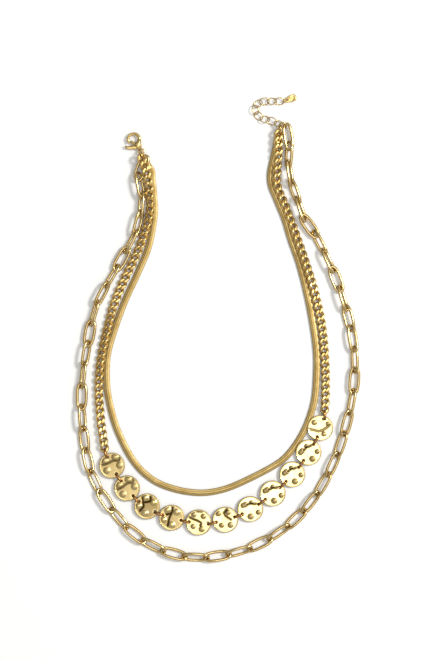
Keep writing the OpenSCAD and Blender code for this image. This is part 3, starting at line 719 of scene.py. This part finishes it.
class NECKLACE_OT_extender(bpy.types.Operator):
    """Draws the extender chain and the plain drop tag at its free end."""
    bl_idname = "necklace.extender"
    bl_label = "Extender and tag"

    link_length = 5.2
    link_width = 4.4
    tag_at = np.array((35.3, 116, 0.9))
    tag_heading = math.radians(22)
    tag_length = 6.4
    tag_width = 3.8
    tag_thickness = 0.6
    tag_hole = 1.2
    tag_edge = 0.55

    def execute(self, context):
        size = sizes()
        gold = plating("polished_clasp_gold", colours().clasp_gold, 0.2)
        link = oval_ring(self.link_length, self.link_width, size.extender_wire, 2.2, 40, 10)
        links = placed(link, *solid_places("extender_chain"))
        make_piece("extender_links", [copies(links, True)], gold,
                   STRANDS_BODY, ["extender_chain"])
        turn = np.array([(math.cos(self.tag_heading), math.sin(self.tag_heading), 0),
                         (-math.sin(self.tag_heading), math.cos(self.tag_heading), 0),
                         (0, 0, 1)])[None]
        grid = placed(self.tag(), self.tag_at[None], turn)[0]
        rows, columns = grid.shape[:2]
        make_piece("drop_tag_plate", [(grid.reshape(-1, 3), grid_faces(rows, columns, True))],
                   gold, STRANDS_BODY, ["drop_tag"])
        return {"FINISHED"}

    def tag(self):
        """Drop-shaped plate round a hole, as a closed section carried round the hole.

        In each direction from the hole the outline is where a ray leaves the drop: a small
        circle about the hole, a large one at the far end, and their tangents.
        """
        round_r = self.tag_width / 2
        tip_r = self.tag_hole / 2 + self.tag_edge
        far = self.tag_length - round_r - tip_r
        angle = np.linspace(-np.pi, np.pi, 72, endpoint=False)
        reach = np.full_like(angle, tip_r)
        for share in np.linspace(0, 1, 40):
            x, r = far * share, tip_r + (round_r - tip_r) * share
            inside = r ** 2 - (x * np.sin(angle)) ** 2
            ray = x * np.cos(angle) + np.sqrt(np.maximum(inside, 0))
            reach = np.where(inside > 0, np.maximum(reach, ray), reach)
        hole = self.tag_hole / 2
        t, bevel = self.tag_thickness, 0.15
        # Columns: share of the way from the hole to the outline, height
        section = np.array([(0, bevel), (0.06, 0), (0.5, 0), (0.94, 0), (1, bevel),
                            (1, t - bevel), (0.95, t), (0.84, t), (0.78, t - 0.08),
                            (0.5, t - 0.06), (0.2, t - 0.04), (0.06, t), (0, t - bevel)])
        radial = hole + (reach[:, None] - hole) * section[None, :, 0]
        return np.stack([radial * np.cos(angle)[:, None], radial * np.sin(angle)[:, None],
                         np.broadcast_to(section[None, :, 1], radial.shape)], axis=2)


class NECKLACE_OT_clasp(bpy.types.Operator):
    """Draws the lobster clasp: its body with the claw, its eye, the lever and the pin."""
    bl_idname = "necklace.clasp"
    bl_label = "Clasp"

    eye_hole = 1.8
    eye_rim = 0.8
    pin_diameter = 0.8
    pin_half_length = 1.3
    slot_depth = 0.9

    def execute(self, context):
        gold = plating("polished_clasp_gold", colours().clasp_gold, 0.2)
        c, s = math.cos(CLASP_HEADING), math.sin(CLASP_HEADING)
        rows = np.array([(c, s, 0), (-s, c, 0), (0, 0, 1)])[None]
        centre = CLASP_AT[None]
        across = self.eye_hole + 2 * self.eye_rim
        eye = oval_ring(across, across, self.eye_rim, 2.0, 40, 14)
        body = swept(self.spine(), 100, 36, 2.3)
        self.cut_slot(body)
        make_piece("clasp_shell", [copies(placed(body, centre, rows), False),
                                   copies(placed(eye, centre, rows), True)],
                   gold, STRANDS_BODY, ["clasp_body"])
        arm = swept(LEVER_SPINE, 30, 16, 2.6)
        tab = swept(TAB_SPINE, 20, 16, 2.6)
        make_piece("clasp_lever_arm", [copies(placed(arm, centre, rows), False),
                                       copies(placed(tab, centre, rows), False)],
                   gold, LEVER_BODY, ["clasp_lever"])
        make_piece("clasp_rivet", [copies(placed(self.rivet(), centre, rows), False)],
                   gold, STRANDS_BODY, ["clasp_pin"])
        return {"FINISHED"}

    def spine(self):
        """Belly rows, then the claw's arc with its wire drawn thinner towards the tip."""
        angle = np.radians(np.linspace(*CLAW_ANGLES, 12))
        thick = np.linspace(0.82, 0.6, 12)
        claw = np.stack([CLAW_MIDDLE[0] + CLAW_RADIUS * np.cos(angle),
                         CLAW_MIDDLE[1] + CLAW_RADIUS * np.sin(angle), thick, thick], axis=1)
        return np.concatenate([BELLY_SPINE, claw])

    def cut_slot(self, body):
        """The belly's side is pressed in at half height, where the lever stands in its slot."""
        x, y, z = body[..., 0], body[..., 1], body[..., 2]
        here = np.clip((x - 1.8) / 0.6, 0, 1) * np.clip((5 - x) / 0.6, 0, 1)
        here = here * np.clip(y / 0.6, 0, 1) * np.exp(-(z / 0.6) ** 4)
        body[..., 1] -= self.slot_depth * here

    def rivet(self):
        """Short pin with slightly domed ends, standing across the clasp."""
        shares = np.array([(-1, 0.55), (-0.9, 1), (-0.5, 1), (0.5, 1), (0.9, 1), (1, 0.55)])
        a = np.linspace(0, 2 * np.pi, 20, endpoint=False)
        r = shares[:, 1, None] * self.pin_diameter / 2
        x = CLASP_PIVOT[0] + r * np.cos(a)
        y = CLASP_PIVOT[1] + r * np.sin(a)
        z = np.broadcast_to(shares[:, 0, None] * self.pin_half_length, x.shape)
        return np.stack([x, y, z], axis=2)


class NECKLACE_OT_stage(bpy.types.Operator):
    """Sets the pale table, the soft studio light and the camera straight above."""
    bl_idname = "necklace.stage"
    bl_label = "Stage"

    middle = (1.275, -1.02)
    view_height = 336.6
    camera_height = 1200.0
    sensor = 36.0
    bright_side = (0.3, -0.2, 0.93)

    def execute(self, context):
        scene = context.scene
        scene.view_settings.view_transform = "Standard"
        self.table(scene)
        self.lights(scene)
        camera = bpy.data.cameras.new("camera")
        camera.type = "PERSP"
        camera.sensor_fit = "VERTICAL"
        camera.sensor_height = self.sensor
        camera.lens = self.sensor * self.camera_height / self.view_height
        holder = bpy.data.objects.new("camera", camera)
        holder.location = (self.middle[0] * MM, self.middle[1] * MM, self.camera_height * MM)
        scene.collection.objects.link(holder)
        scene.camera = holder
        return {"FINISHED"}

    def table(self, scene):
        """A wide flat table under the necklace."""
        half = 1.5
        mesh = bpy.data.meshes.new("table")
        mesh.from_pydata([(-half, -half, 0), (half, -half, 0), (half, half, 0),
                          (-half, half, 0)], [], [(0, 1, 2, 3)])
        table = bpy.data.objects.new("table", mesh)
        material = bpy.data.materials.new("white_card")
        material.use_nodes = True
        shader = material.node_tree.nodes["Principled BSDF"]
        shader.inputs["Base Color"].default_value = (*colours().table, 1.0)
        shader.inputs["Roughness"].default_value = 0.9
        shader.inputs["Specular IOR Level"].default_value = 0.1
        mesh.materials.append(material)
        scene.collection.objects.link(table)

    def lights(self, scene):
        """A soft key light from the right, a wide overhead sheet and a graded room."""
        world = bpy.data.worlds.new("studio")
        world.use_nodes = True
        scene.world = world
        tree = world.node_tree
        back = tree.nodes["Background"]
        where = add_node(world, "ShaderNodeTexCoord").outputs["Generated"]
        facing = add_node(world, "ShaderNodeVectorMath", {0: where, 1: self.bright_side},
                          operation="DOT_PRODUCT")
        ramp = add_node(world, "ShaderNodeValToRGB", {"Fac": facing.outputs["Value"]})
        ramp.color_ramp.elements[0].color = (0.1, 0.1, 0.1, 1)
        ramp.color_ramp.elements[1].color = (0.58, 0.58, 0.58, 1)
        for place, level in ((0.35, 0.32), (0.7, 0.7)):
            ramp.color_ramp.elements.new(place).color = (level, level, level, 1)
        tree.links.new(ramp.outputs["Color"], back.inputs["Color"])
        self.panel(scene, "key_light", (1.3, 0.4, 1.75), (0, 0, 0), 0.46, 0.46, 30.0)
        self.panel(scene, "overhead_sheet", (0.07, -0.03, 0.95), (0.07, -0.03, 0), 0.24, 0.5, 1.35)

    def panel(self, scene, name, place, target, width, height, power):
        """A rectangular light at a place, turned to a target; the camera doesn't see it."""
        light = bpy.data.lights.new(name, "AREA")
        light.shape = "RECTANGLE"
        light.size, light.size_y = width, height
        light.energy = power
        holder = bpy.data.objects.new(name, light)
        holder.location = place
        aim = Vector(target) - Vector(place)
        holder.rotation_euler = aim.to_track_quat("-Z", "Y").to_euler()
        holder.visible_camera = False
        scene.collection.objects.link(holder)


class NECKLACE_PT_panel(bpy.types.Panel):
    """Sizes, colours and the steps that build the necklace."""
    bl_idname = "NECKLACE_PT_panel"
    bl_label = "Necklace"
    bl_space_type = "VIEW_3D"
    bl_region_type = "UI"
    bl_category = "Necklace"

    def draw(self, context):
        layout = self.layout
        for group in (context.scene.necklace_sizes, context.scene.necklace_colours):
            box = layout.box()
            for name in group.__annotations__:
                box.prop(group, name)
        for step in STEPS:
            layout.operator(step.bl_idname)


STEPS = (NECKLACE_OT_stage, NECKLACE_OT_snake_chain, NECKLACE_OT_curb_chain, NECKLACE_OT_discs,
         NECKLACE_OT_oval_chain, NECKLACE_OT_rings, NECKLACE_OT_extender, NECKLACE_OT_clasp)
CLASSES = (NecklaceSizes, NecklaceColours) + STEPS + (NECKLACE_PT_panel,)


def register():
    for cls in CLASSES:
        bpy.utils.register_class(cls)
    bpy.types.Scene.necklace_sizes = bpy.props.PointerProperty(type=NecklaceSizes)
    bpy.types.Scene.necklace_colours = bpy.props.PointerProperty(type=NecklaceColours)


def unregister():
    del bpy.types.Scene.necklace_colours
    del bpy.types.Scene.necklace_sizes
    for cls in reversed(CLASSES):
        bpy.utils.unregister_class(cls)


def main():
    register()
    bpy.ops.necklace.stage()
    bpy.ops.necklace.snake_chain()
    bpy.ops.necklace.curb_chain()
    bpy.ops.necklace.discs()
    bpy.ops.necklace.oval_chain()
    bpy.ops.necklace.rings()
    bpy.ops.necklace.extender()
    bpy.ops.necklace.clasp()


if __name__ == "__main__":
    main()
